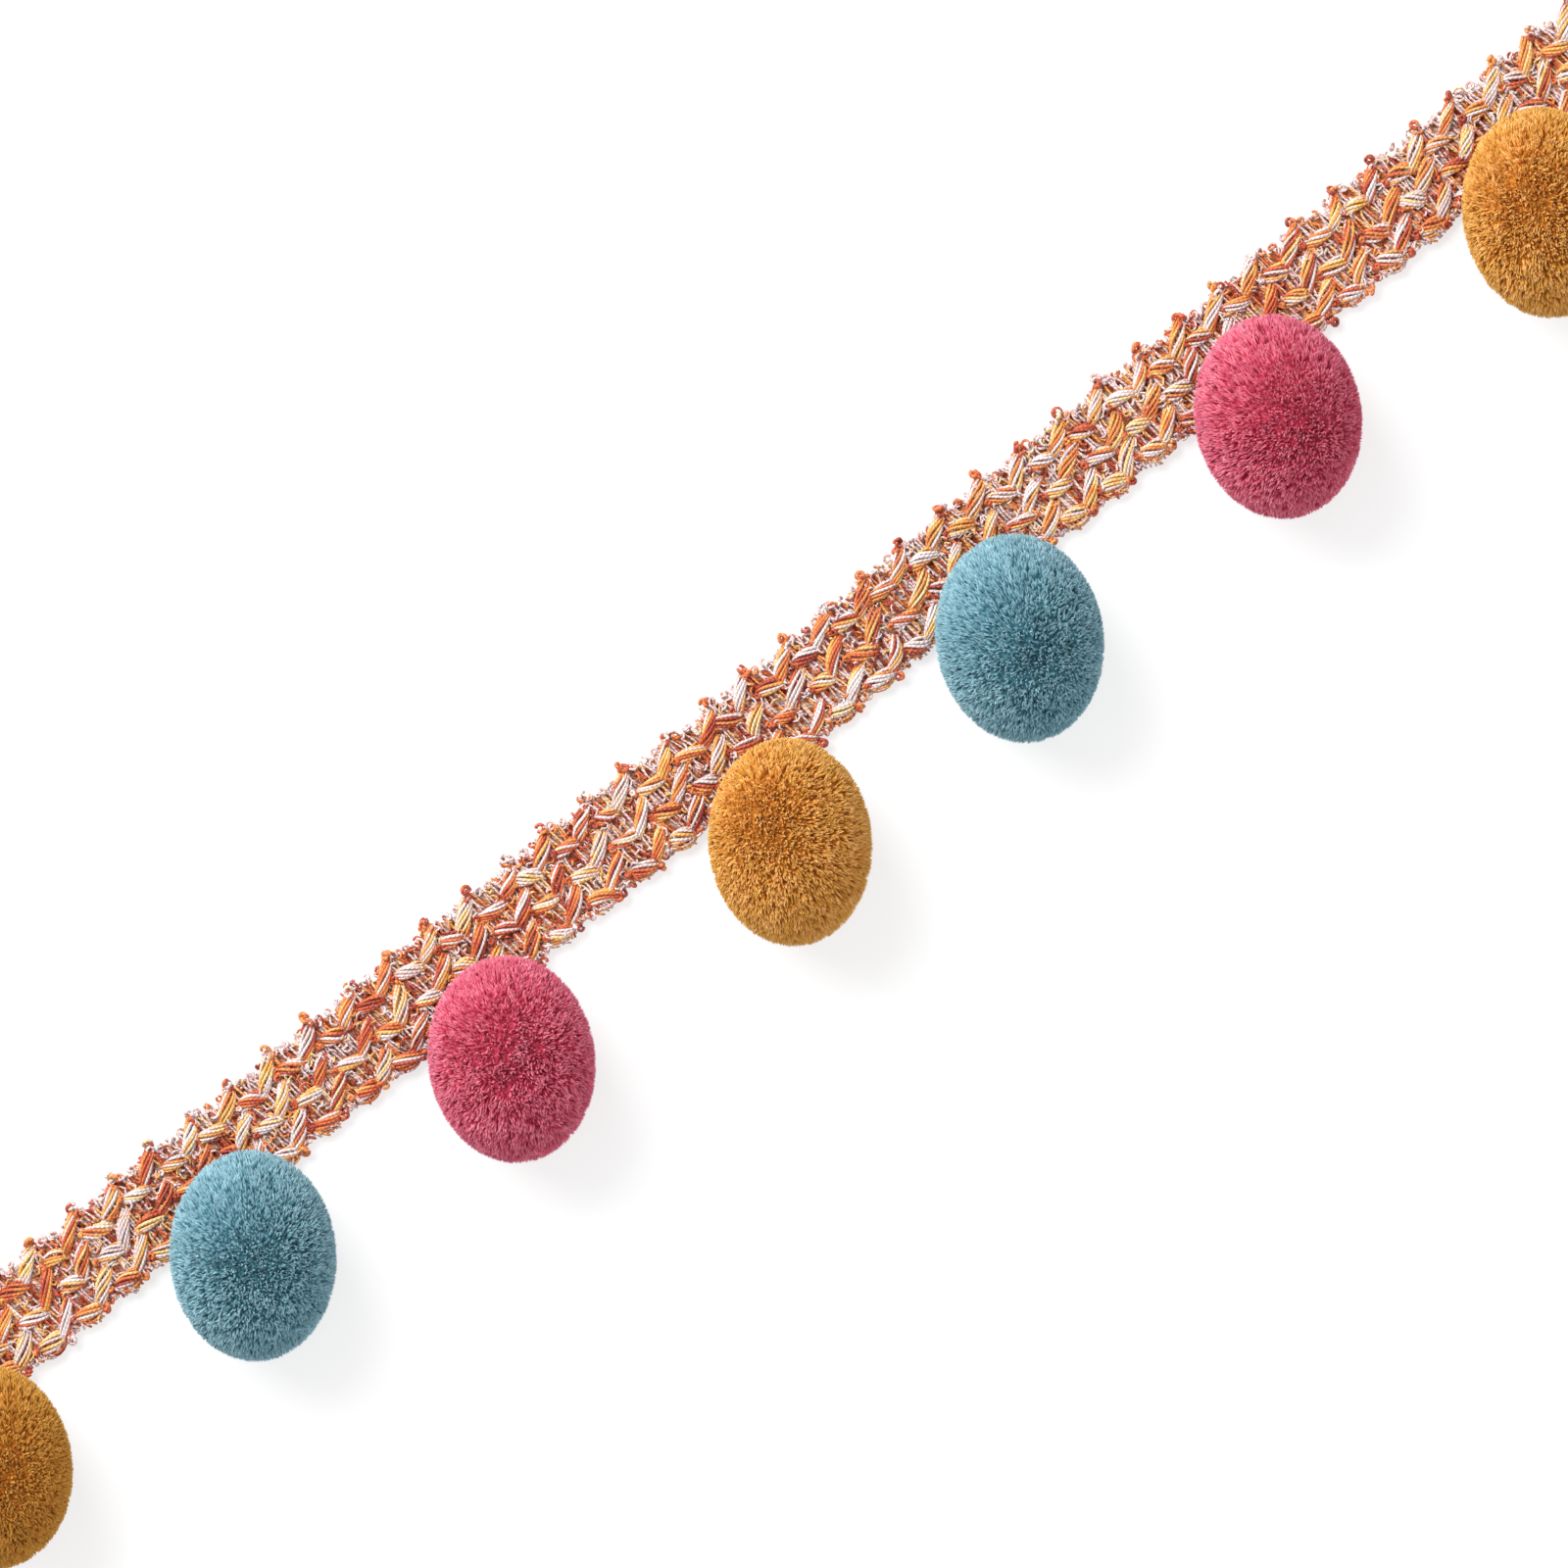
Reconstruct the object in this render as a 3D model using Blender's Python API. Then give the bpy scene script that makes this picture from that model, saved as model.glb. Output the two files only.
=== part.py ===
# Pompom fringe trim: a tape of three stitch rows with looped edges, and seven
# cut-pile pompoms tied side by side along its lower edge. It lies flat, face up.
# Metres, +Z up. The tape runs along +X and the pompoms lie on its -Y side.
# The origin is the middle of the tape's flat back.

import math

import bmesh
import bpy
from mathutils import Matrix, Vector

MM = 0.001

# Tape
STITCH_PITCH = 6.76 * MM      # one stitch along the tape
STITCH_COUNT = 46             # stitches from cut end to cut end
ROW_PITCH = 4.0 * MM          # one stitch row across the tape
ROW_COUNT = 3
ROW_SLANT = 0.19              # each row starts a little further along than the one below
FACE_WIDTH = ROW_COUNT * ROW_PITCH
EDGE_WIDTH = 0.85 * MM        # plain selvage outside the outer rows
LOOP_REACH = 1.0 * MM         # how far the edge loops stand out past the selvage
EDGE_HEIGHT = 0.7 * MM        # the selvage's outermost line above the floor
EDGE_UNDERCUT = 0.5 * MM      # how far the back stops short of the selvage
GROUND_THICKNESS = 1.0 * MM   # the tape between its stitches
STITCH_RELIEF = 1.2 * MM      # a float's crown above that
TAPE_LENGTH = STITCH_COUNT * STITCH_PITCH
TAPE_TOP = GROUND_THICKNESS + STITCH_RELIEF
SELVAGE = FACE_WIDTH / 2 + EDGE_WIDTH

# The stitch's grid: points along one stitch, and points across one row.
# A yarn runs level for three points and then climbs one point a line to the next row.
STITCH_POINTS = 6
ROW_POINTS = 3
STITCH_LINES = {
    # line of the row: height at each point along the stitch, 0 ground to 1 crown
    "level float": (0.90, 1.00, 1.00, 0.90, 0.30, 0.20),
    "climb, first": (0.10, 0.30, 0.15, 0.45, 1.00, 0.25),
    "climb, second": (0.25, 0.20, 0.60, 0.25, 0.45, 1.00),
}
UPPER_EDGE_LINE = (1.00, 0.75, 0.25, 0.55, 0.35, 0.30)
UPPER_LOOPS = (1.00, 0.55, 0.00, 0.45, 0.20, 0.10)
LOWER_LOOPS = (0.00, 0.10, 0.50, 1.00, 0.35, 0.00)
HEIGHT_UNEVENNESS = 0.12 * MM
EDGE_UNEVENNESS = 0.25 * MM

# The tape isn't quite straight: it dips towards the pompoms near its middle.
DIP_DEPTH = 0.6 * MM
DIP_AT = 8.0 * MM
DIP_HALF_LENGTH = 20.0 * MM

# Pompoms, in mm and degrees. "outset" is the centre's distance outside the selvage,
# "lean" turns the long axis from straight across the tape towards +X.
POMPOM_COLUMNS = ("yarn", "along", "outset", "wide", "long", "lean")
POMPOM_ROWS = (
    ("gold", -132.5, 6.0, 22.4, 27.6, 32.0),
    ("blue", -87.7, 6.2, 22.4, 28.4, 35.0),
    ("pink", -44.7, 7.5, 22.5, 27.9, 31.0),
    ("gold", 2.1, 7.8, 22.0, 28.0, 34.0),
    ("blue", 42.7, 6.4, 22.6, 28.2, 30.0),
    ("pink", 87.8, 5.1, 22.5, 27.6, 29.0),
    ("gold", 132.4, 6.4, 22.4, 28.4, 31.0),
)
POMPOM_DEPTH = 22.4 * MM      # from face to back, before it settles on its underside
POMPOM_CENTRE_HEIGHT = 9.8 * MM
GAP = 0.3 * MM                # between a pompom's locks and the tape

# A pompom's locks, as fractions of the way from its centre to its surface
LOCK_ROOT = 0.58
LOCK_SHOULDER = 0.88
LOCK_CROWN = 0.97
LOCK_TIP = 1.0
SHOULDER_INSET = 0.018        # half the parting between two locks, at the root's scale
CROWN_INSET = 0.06
LOCK_UNEVENNESS = 0.03

# The ball that the locks grow from: a box of 3 x 3 x 2 cells blown up round
CELL_CUTS_LEVEL = 2
CELL_CUTS_UPRIGHT = 1
CELL_INNER_LINE = 0.24
CELL_BOX_HALF_HEIGHT = 0.60

YARN_COLOURS = {
    "braid": (0.62, 0.20, 0.06, 1.0),
    "gold": (0.50, 0.21, 0.045, 1.0),
    "blue": (0.13, 0.25, 0.30, 1.0),
    "pink": (0.49, 0.08, 0.13, 1.0),
}
YARN_ROUGHNESS = 0.85


def yarn_material(name):
    material = bpy.data.materials.new(f"{name}_yarn")
    material.use_nodes = True
    shader = material.node_tree.nodes["Principled BSDF"]
    shader.inputs["Base Color"].default_value = YARN_COLOURS[name]
    shader.inputs["Roughness"].default_value = YARN_ROUGHNESS
    shader.inputs["Metallic"].default_value = 0.0
    return material


def uneven(*numbers):
    # A fixed pseudo-random value from -1 to 1 for any set of whole numbers.
    mix = sum(number * weight for number, weight in zip(numbers, (12.9898, 78.233, 37.719)))
    return 2 * ((math.sin(mix) * 43758.5453) % 1.0) - 1


def new_object(name, mesh_builder, material, collection):
    mesh = bpy.data.meshes.new(name)
    bmesh.ops.recalc_face_normals(mesh_builder, faces=mesh_builder.faces)
    mesh_builder.to_mesh(mesh)
    mesh_builder.free()
    mesh.materials.append(material)
    mesh.shade_smooth()
    mesh.set_sharp_from_angle(angle=math.radians(50))
    part = bpy.data.objects.new(name, mesh)
    collection.objects.link(part)
    return part


def tape_dip(x):
    return -DIP_DEPTH * math.exp(-((x - DIP_AT) / DIP_HALF_LENGTH) ** 2)


def face_point(column, line):
    # A point of the stitched face. Lines count up from the lower row's level floats.
    point = column % STITCH_POINTS
    stitch = column // STITCH_POINTS
    last_line = ROW_COUNT * ROW_POINTS
    if line == last_line:
        relief = UPPER_EDGE_LINE[point]
    else:
        relief = tuple(STITCH_LINES.values())[line % ROW_POINTS][point]
    y = (line / ROW_POINTS) * ROW_PITCH - FACE_WIDTH / 2
    z = GROUND_THICKNESS + relief * (STITCH_RELIEF - HEIGHT_UNEVENNESS)
    z += relief * HEIGHT_UNEVENNESS * uneven(stitch, line // ROW_POINTS, 1)
    return y, z


def edge_point(column, loops, side):
    # The outermost line of a selvage, with its loops. side is -1 below and +1 above.
    stitch = column // STITCH_POINTS
    reach = loops[column % STITCH_POINTS] * LOOP_REACH
    reach += EDGE_UNEVENNESS * uneven(stitch, side, 2) * reach / LOOP_REACH
    return side * (SELVAGE + reach), EDGE_HEIGHT


def tape_section(column):
    # The tape's outline at one column, from its back's lower edge over the face
    # to its back's upper edge.
    back = SELVAGE - EDGE_UNDERCUT
    face = [face_point(column, line) for line in range(ROW_COUNT * ROW_POINTS + 1)]
    return [
        (-back, 0.0),
        edge_point(column, LOWER_LOOPS, -1),
        *face,
        edge_point(column, UPPER_LOOPS, 1),
        (back, 0.0),
    ]


def build_tape(collection):
    columns = STITCH_COUNT * STITCH_POINTS
    sections = [tape_section(column) for column in range(columns + 1)]
    lines = len(sections[0]) - 1
    tape = bmesh.new()
    bmesh.ops.create_grid(tape, x_segments=columns, y_segments=lines, size=1.0)
    first_line = []
    last_line = []
    for vert in tape.verts:
        column = round((vert.co.x + 1) / 2 * columns)
        line = round((vert.co.y + 1) / 2 * lines)
        x = (column / columns - 0.5) * TAPE_LENGTH
        y, z = sections[column][line]
        # the rows' slant fades out at the ends, which are cut square
        from_end = TAPE_LENGTH / 2 - abs(x)
        slant = ROW_SLANT * min(1.0, from_end / STITCH_PITCH)
        vert.co = (x + slant * y, y + tape_dip(x), z)
        if line == 0:
            first_line.append(vert)
        if line == lines:
            last_line.append(vert)
    # every face is split along the yarns' climb
    bmesh.ops.triangulate(tape, faces=tape.faces, quad_method="FIXED")
    back_edges = []
    for rim in (set(first_line), set(last_line)):
        back_edges += [edge for edge in tape.edges if edge.verts[0] in rim and edge.verts[1] in rim]
    bmesh.ops.bridge_loops(tape, edges=back_edges)
    bmesh.ops.holes_fill(tape, edges=[edge for edge in tape.edges if edge.is_boundary], sides=0)
    return new_object("tape", tape, yarn_material("braid"), collection)


def cell_ball():
    # A ball of radius 1 in 42 near-square cells, one for each lock.
    ball = bmesh.new()
    bmesh.ops.create_cube(ball, size=2.0)
    level = [edge for edge in ball.edges if abs(edge.verts[0].co.z - edge.verts[1].co.z) < 1]
    bmesh.ops.subdivide_edges(ball, edges=level, cuts=CELL_CUTS_LEVEL, use_grid_fill=True)
    upright = [edge for edge in ball.edges if abs(edge.verts[0].co.z - edge.verts[1].co.z) > 1]
    bmesh.ops.subdivide_edges(ball, edges=upright, cuts=CELL_CUTS_UPRIGHT, use_grid_fill=True)
    for vert in ball.verts:
        for axis in (0, 1):
            if abs(vert.co[axis]) < 0.5:
                vert.co[axis] = math.copysign(CELL_INNER_LINE, vert.co[axis])
        vert.co.z *= CELL_BOX_HALF_HEIGHT
        vert.co.normalize()
    return ball


def lock_ball():
    # The cells raised into four-sided locks that meet only at their roots.
    # Each point's distance from the centre says how far out on its lock it lies.
    ball = cell_ball()
    for vert in ball.verts:
        vert.co *= LOCK_ROOT
    cells = list(ball.faces)
    locks = [[] for cell in cells]
    for inset, reach in ((SHOULDER_INSET, LOCK_SHOULDER), (CROWN_INSET, LOCK_CROWN)):
        bmesh.ops.inset_individual(ball, faces=cells, thickness=inset, use_even_offset=True)
        for lock, cell in zip(locks, cells):
            for vert in cell.verts:
                vert.co = vert.co.normalized() * reach
            lock.extend(cell.verts)
    owner = {vert: lock for lock in locks for vert in lock}
    for vert in bmesh.ops.poke(ball, faces=cells)["verts"]:
        ring_vert = vert.link_edges[0].other_vert(vert)
        vert.co = vert.co.normalized() * LOCK_TIP
        owner[ring_vert].append(vert)
    return ball, locks


def lock_seat(centre, tip_arm, tape_edge):
    # What a lock meets: nothing, the tape's face from above, or the tape's edge.
    if tip_arm.y <= 0 or tip_arm.z >= 0:
        return "free"
    height_at_edge = centre.z + tip_arm.z * (tape_edge - centre.y) / tip_arm.y
    return "over tape" if height_at_edge > TAPE_TOP else "beside tape"


def reach_limit(centre, arm, tape_edge, seat):
    # How much of the arm from the centre to the surface is free: the locks below
    # end level with the floor, and those at the tape end on it or beside it.
    limit = 1.0
    if arm.z < 0:
        limit = min(limit, -centre.z / arm.z)
    if seat == "over tape" and arm.z < 0:
        limit = min(limit, (TAPE_TOP + GAP - centre.z) / arm.z)
    if seat == "beside tape" and arm.y > 0:
        limit = min(limit, (tape_edge - GAP - centre.y) / arm.y)
    return limit


def build_pompom(number, spec, material, collection):
    size = Vector((spec["wide"] / 2 * MM, spec["long"] / 2 * MM, POMPOM_DEPTH / 2))
    turn = Matrix.Rotation(math.radians(-spec["lean"]), 3, "Z")
    x = spec["along"] * MM
    selvage = tape_dip(x) - SELVAGE
    tape_edge = selvage - LOOP_REACH - EDGE_UNEVENNESS
    centre = Vector((x, selvage - spec["outset"] * MM, POMPOM_CENTRE_HEIGHT))
    ball, locks = lock_ball()
    placed = {}
    for index, lock in enumerate(locks):
        tip = max(lock, key=lambda vert: vert.co.length)
        seat = lock_seat(centre, turn @ (tip.co * size), tape_edge)
        full = 1 - LOCK_UNEVENNESS * (0.5 + 0.5 * uneven(number, index, 3))
        for vert in lock:
            reach = vert.co.length
            arm = turn @ (vert.co.normalized() * size)
            limit = min(full, reach_limit(centre, arm, tape_edge, seat))
            if reach < (LOCK_SHOULDER + LOCK_CROWN) / 2:
                share = (reach - LOCK_ROOT) / (LOCK_TIP - LOCK_ROOT)
                reach = LOCK_ROOT + share * (limit - LOCK_ROOT)
            elif limit < full:
                reach = limit
            else:
                reach *= full
            placed[vert] = centre + arm * reach
    for vert in ball.verts:
        vert.co = placed.get(vert, centre + turn @ (vert.co * size))
    return new_object(f"pompom_{number}_{spec['yarn']}", ball, material, collection)


def clear_scene():
    for old in list(bpy.data.objects):
        bpy.data.objects.remove(old, do_unlink=True)


def main():
    clear_scene()
    trim = bpy.data.collections.new("pompom_fringe_trim")
    bpy.context.scene.collection.children.link(trim)
    build_tape(trim)
    materials = {yarn: yarn_material(yarn) for yarn in ("gold", "blue", "pink")}
    for number, row in enumerate(POMPOM_ROWS, start=1):
        spec = dict(zip(POMPOM_COLUMNS, row))
        build_pompom(number, spec, materials[spec["yarn"]], trim)


main()
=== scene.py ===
import math

import bmesh
import bpy
import numpy as np
from mathutils import Matrix, Vector


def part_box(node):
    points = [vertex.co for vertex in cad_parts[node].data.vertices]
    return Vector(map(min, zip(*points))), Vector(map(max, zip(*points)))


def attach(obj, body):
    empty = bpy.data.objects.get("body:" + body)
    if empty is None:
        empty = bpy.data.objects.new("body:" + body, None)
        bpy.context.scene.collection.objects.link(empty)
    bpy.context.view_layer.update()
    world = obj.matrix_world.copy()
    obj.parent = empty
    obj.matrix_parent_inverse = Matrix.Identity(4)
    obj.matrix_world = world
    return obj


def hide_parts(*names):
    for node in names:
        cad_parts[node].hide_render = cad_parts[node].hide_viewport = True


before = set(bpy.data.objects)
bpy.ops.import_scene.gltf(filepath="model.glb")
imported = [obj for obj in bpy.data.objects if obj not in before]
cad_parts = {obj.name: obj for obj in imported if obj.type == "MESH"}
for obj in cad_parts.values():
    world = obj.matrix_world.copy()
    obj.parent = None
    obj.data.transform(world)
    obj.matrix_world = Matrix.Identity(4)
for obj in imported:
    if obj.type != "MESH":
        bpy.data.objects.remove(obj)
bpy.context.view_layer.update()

mm = 0.001
# other numbers here give other yarns of the same make
seeds = {"stitches": 3, "ground": 5, "floats": 11, "knots": 23, "edges": 37, "pompoms": 100}

# The trim lies flat: the tape runs along X, the pompoms lie on its -Y side.
tapeLow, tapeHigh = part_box("tape")
tapeLength = tapeHigh.x - tapeLow.x
tape = {
    "stitches": 46,
    "rowLevels": (-5.2 * mm, -1.1 * mm, 3.0 * mm),  # the level floats of each row
    "firstStitch": 3.0 * mm,
    "rowShift": 0.5 * mm,       # each row starts a little further along
    "unevenness": 0.16 * mm,    # of a stitch's place
    "groundTop": 0.95 * mm,
    "top": tapeHigh.z,
    "dipDepth": 0.6 * mm,       # the tape sags a little towards the pompoms
    "dipAt": 8.0 * mm,
    "dipHalfLength": 20.0 * mm,
    "edgeSwing": 0.5 * mm,      # of the wavy edges, either way
    "upperCrest": 1.9 * mm,     # where each edge is widest, from the start of a stitch
    "lowerCrest": 2.0 * mm,
    "cutEnd": 0.3 * mm,         # strands stop this far inside the cut ends
    "shortestShare": 0.25,      # a strand with less of its length than this inside is left out
    "seat": 0.10 * mm,          # strands start this far above the ground
}
tape["pitch"] = tapeLength / tape["stitches"]


def linear(hexColour):
    # sRGB hex to the linear values that the shader takes
    parts = [int(hexColour[i:i + 2], 16) / 255 for i in (1, 3, 5)]
    return [c / 12.92 if c <= 0.04045 else ((c + 0.055) / 1.055) ** 2.4 for c in parts] + [1.0]


def addNode(tree, kind, settings=None, links=None):
    # a node with its settings, by input name or property, and its inputs' sources
    node = tree.nodes.new(kind)
    for key, value in (settings or {}).items():
        if key == "stops":
            ramp = node.color_ramp.elements
            while len(ramp) < len(value):
                ramp.new(1.0)
            for stop, (place, colour) in zip(ramp, value):
                stop.position = place
                stop.color = linear(colour)
        elif isinstance(key, int) or key in node.inputs:
            node.inputs[key].default_value = value
        else:
            setattr(node, key, value)
    for key, source in (links or {}).items():
        tree.links.new(source, node.inputs[key])
    return node


def newMaterial(name, settings):
    material = bpy.data.materials.new(name)
    material.use_nodes = True
    tree = material.node_tree
    shader = tree.nodes["Principled BSDF"]
    for key, value in settings.items():
        shader.inputs[key].default_value = value
    return material, tree, shader


# Mesh building: everything is made of many fine strands, joined piece by piece

def meshPiece(name, points, faces, material, marks=None, runs=None):
    # marks are values for each point, runs is the place along and round the yarn for each corner
    mesh = bpy.data.meshes.new(name)
    mesh.from_pydata(points.tolist(), [], faces)
    for mark, values in (marks or {}).items():
        mesh.attributes.new(mark, "FLOAT", "POINT").data.foreach_set("value", values.astype(np.float32))
    if runs is not None:
        mesh.uv_layers.new(name="yarnRun").data.foreach_set("uv", runs.astype(np.float32).ravel())
    mesh.shade_smooth()
    mesh.materials.append(material)
    piece = bpy.data.objects.new(name, mesh)
    bpy.context.scene.collection.objects.link(piece)
    return piece


def unit(vectors):
    return vectors / np.maximum(np.linalg.norm(vectors, axis=-1, keepdims=True), 1e-12)


def tubes(paths, radii, sides, across=(0.0, 0.0, 1.0)):
    # round strands with closed ends. paths is (strands, points, 3) and radii (strands, points)
    endShare = 0.4      # of the radius, how far a closed end stands out
    count, steps = paths.shape[:2]
    along = unit(np.gradient(paths, axis=1))
    across = np.broadcast_to(np.asarray(across, float).reshape(-1, 1, 3), paths.shape)
    side = unit(np.cross(across, along))
    up = np.cross(along, side)
    angles = np.arange(sides) * 2 * math.pi / sides
    ring = side[:, :, None] * np.cos(angles)[:, None] + up[:, :, None] * np.sin(angles)[:, None]
    walls = paths[:, :, None] + ring * radii[:, :, None, None]
    starts = paths[:, :1] - along[:, :1] * radii[:, :1, None] * endShare
    ends = paths[:, -1:] + along[:, -1:] * radii[:, -1:, None] * endShare
    points = np.concatenate([walls.reshape(count, -1, 3), starts, ends], axis=1)
    each = steps * sides + 2

    j, i = np.meshgrid(np.arange(steps - 1), np.arange(sides), indexing="ij")
    n = (i + 1) % sides
    quads = np.stack([j * sides + i, j * sides + n, (j + 1) * sides + n, (j + 1) * sides + i], -1)
    quads = quads.reshape(-1, 4)
    k = np.arange(sides)
    nextK = (k + 1) % sides
    last = (steps - 1) * sides
    startCaps = np.stack([nextK, k, np.full(sides, each - 2)], -1)
    endCaps = np.stack([last + k, last + nextK, np.full(sides, each - 1)], -1)
    triangles = np.concatenate([startCaps, endCaps])

    stepLength = np.linalg.norm(np.diff(paths, axis=1), axis=2)
    runLength = np.concatenate([np.zeros((count, 1)), np.cumsum(stepLength, axis=1)], axis=1)
    u = np.stack([runLength[:, j], runLength[:, j], runLength[:, j + 1], runLength[:, j + 1]], -1)
    v = np.stack([i, i + 1, i + 1, i], -1) / sides
    v = np.broadcast_to(v, u.shape)
    quadRuns = np.stack([u / mm, v], -1).reshape(-1, 2)
    capRuns = np.zeros((count * len(triangles) * 3, 2))
    offsets = (np.arange(count) * each)[:, None, None]
    return {
        "points": points.reshape(-1, 3),
        "quads": (quads + offsets).reshape(-1, 4),
        "triangles": (triangles + offsets).reshape(-1, 3),
        "quadRuns": quadRuns,
        "capRuns": capRuns,
        "each": each,
    }


def joined(batches, tints):
    # several batches of tubes as one set of points and faces
    points, faces, quadRuns, capFaces, capRuns, marks = [], [], [], [], [], []
    base = 0
    for batch, tint in zip(batches, tints):
        points.append(batch["points"])
        faces += (batch["quads"] + base).tolist()
        capFaces += (batch["triangles"] + base).tolist()
        quadRuns.append(batch["quadRuns"])
        capRuns.append(batch["capRuns"])
        marks.append(np.repeat(tint, batch["each"]))
        base += len(batch["points"])
    return (np.concatenate(points), faces + capFaces, np.concatenate(marks),
            np.concatenate(quadRuns + capRuns))


def sag(x):
    return -tape["dipDepth"] * np.exp(-((x - tape["dipAt"]) / tape["dipHalfLength"]) ** 2)


def edgeWave(x, start):
    # the worked edges swing in and out once a stitch
    run = x + tapeLength / 2 - tape["firstStitch"] - start
    return tape["edgeSwing"] * np.cos(2 * math.pi * run / tape["pitch"])


def laid(paths):
    # strands follow the tape's slight sag and are drawn in at its cut ends
    leastRun = 0.1 * mm
    paths = paths.copy()
    limit = tapeLength / 2 - tape["cutEnd"]
    keep = np.ones(len(paths), bool)
    for side in (-1, 1):
        outward = paths[..., 0] * side
        far = outward.max(axis=1)
        near = outward.min(axis=1)
        room = (limit - near) / np.maximum(far - near, leastRun)
        keep &= (far < limit) | (room > tape["shortestShare"])
        squeeze = np.where(far > limit, np.clip(room, 0, 1), 1.0)[:, None]
        paths[..., 0] = side * (near[:, None] + (outward - near[:, None]) * squeeze)
    paths[..., 1] += sag(paths[..., 0])
    return paths, keep


class Yarns:
    # gathers strands of one piece, each with its tint, and makes the piece from them
    def __init__(self):
        self.batches = []
        self.tints = []

    def add(self, paths, radii, sides, tint, across=(0.0, 0.0, 1.0)):
        paths, keep = laid(paths)
        if np.ndim(across) == 2:
            across = across[keep]
        self.batches.append(tubes(paths[keep], radii[keep], sides, across))
        self.tints.append(tint[keep])

    def piece(self, name, material):
        points, faces, marks, runs = joined(self.batches, self.tints)
        return meshPiece(name, points, faces, material, {"tint": marks}, runs)


# Materials

yarnDyes = (
    # the tint of a ply: brick, orange, amber, straw, then the undyed lilac-white
    (0.00, "#9c3521"),
    (0.18, "#c5552c"),
    (0.36, "#dc8240"),
    (0.52, "#e9ad57"),
    (0.66, "#efd094"),
    (0.78, "#d4bcbb"),
    (1.00, "#e6dbd9"),
)
braidYarnLook = {
    "dyePatches": 420.0,        # a metre: the dye changes every 2.4 mm or so along a yarn
    "dyeSwing": 0.70,           # of the tint, over such a change
    "low": 0.85 * mm,           # yarn at this height and below takes the full painted shade
    "high": 1.75 * mm,
    # painted shade low down and painted light high up, as colour multipliers
    "paintedShade": (0.92, 0.60, 0.55),
    "raised": (1.10, 1.10, 1.10),
    "twistLength": 0.6,         # mm a turn of the plies
    "twistDepth": 0.04 * mm,
    "grooves": (0.74, 1.06),    # painted shade in the dips and painted light on the crowns of the twist, as shares of the colour
}


def braidYarn():
    # space-dyed mercerised cotton, plied: bright, a little glossy, with a fine diagonal twist
    look = braidYarnLook
    material, tree, shader = newMaterial("mercerisedCottonYarn", {
        "Roughness": 0.36,
        "IOR": 1.53,
        "Sheen Weight": 0.25,
        "Sheen Roughness": 0.4,
    })
    tint = addNode(tree, "ShaderNodeAttribute", {"attribute_name": "tint"})
    place = addNode(tree, "ShaderNodeTexCoord")
    dye = addNode(tree, "ShaderNodeTexNoise", {"Scale": look["dyePatches"], "Detail": 2.0}, {
        "Vector": place.outputs["Object"]})
    shifted = addNode(tree, "ShaderNodeMath", {
        "operation": "MULTIPLY_ADD", 1: look["dyeSwing"], 2: -look["dyeSwing"] / 2}, {0: dye.outputs["Fac"]})
    total = addNode(tree, "ShaderNodeMath", {"operation": "ADD"}, {
        0: tint.outputs["Fac"], 1: shifted.outputs[0]})
    colour = addNode(tree, "ShaderNodeValToRGB", {"stops": yarnDyes}, {"Fac": total.outputs[0]})
    # painted shade and light by height: yarn low between the stitches is darkened, yarn high on them
    # lightened
    apart = addNode(tree, "ShaderNodeSeparateXYZ", {}, {0: place.outputs["Object"]})
    raised = addNode(tree, "ShaderNodeMapRange", {"From Min": look["low"], "From Max": look["high"]}, {
        "Value": apart.outputs["Z"]})
    paintedShade = addNode(tree, "ShaderNodeMix", {
        "data_type": "VECTOR", 4: look["paintedShade"], 5: look["raised"]}, {0: raised.outputs[0]})
    # the plies' twist stands up a little as a bump, with painted shade where it dips and painted light on its
    # crowns
    run = addNode(tree, "ShaderNodeUVMap", {"uv_map": "yarnRun"})
    split = addNode(tree, "ShaderNodeSeparateXYZ", {}, {0: run.outputs["UV"]})
    turn = addNode(tree, "ShaderNodeMath", {"operation": "MULTIPLY_ADD", 1: 1 / look["twistLength"]}, {
        0: split.outputs["X"], 2: split.outputs["Y"]})
    angle = addNode(tree, "ShaderNodeMath", {"operation": "MULTIPLY", 1: 2 * math.pi}, {0: turn.outputs[0]})
    twist = addNode(tree, "ShaderNodeMath", {"operation": "SINE"}, {0: angle.outputs[0]})
    grooves = addNode(tree, "ShaderNodeMapRange", {
        "From Min": -1.0, "From Max": 0.2, "To Min": look["grooves"][0], "To Max": look["grooves"][1],
    }, {"Value": twist.outputs[0]})
    shadedColour = addNode(tree, "ShaderNodeVectorMath", {"operation": "MULTIPLY"}, {
        0: colour.outputs["Color"], 1: paintedShade.outputs[1]})
    toned = addNode(tree, "ShaderNodeVectorMath", {"operation": "SCALE"}, {
        0: shadedColour.outputs[0], "Scale": grooves.outputs[0]})
    tree.links.new(toned.outputs[0], shader.inputs["Base Color"])
    bump = addNode(tree, "ShaderNodeBump", {"Strength": 0.7, "Distance": look["twistDepth"]}, {
        "Height": twist.outputs[0]})
    tree.links.new(bump.outputs["Normal"], shader.inputs["Normal"])
    return material


braidGroundLook = {
    "dyePatches": 900.0,        # a metre: about 1.1 mm each
    "threads": 780.0,           # the waves' scale for threads 0.4 mm apart
    "tangle": 9.0,
    "shades": (0.55, 1.15),     # painted shade between two threads and painted light on one
    "relief": 0.14 * mm,
}


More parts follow.
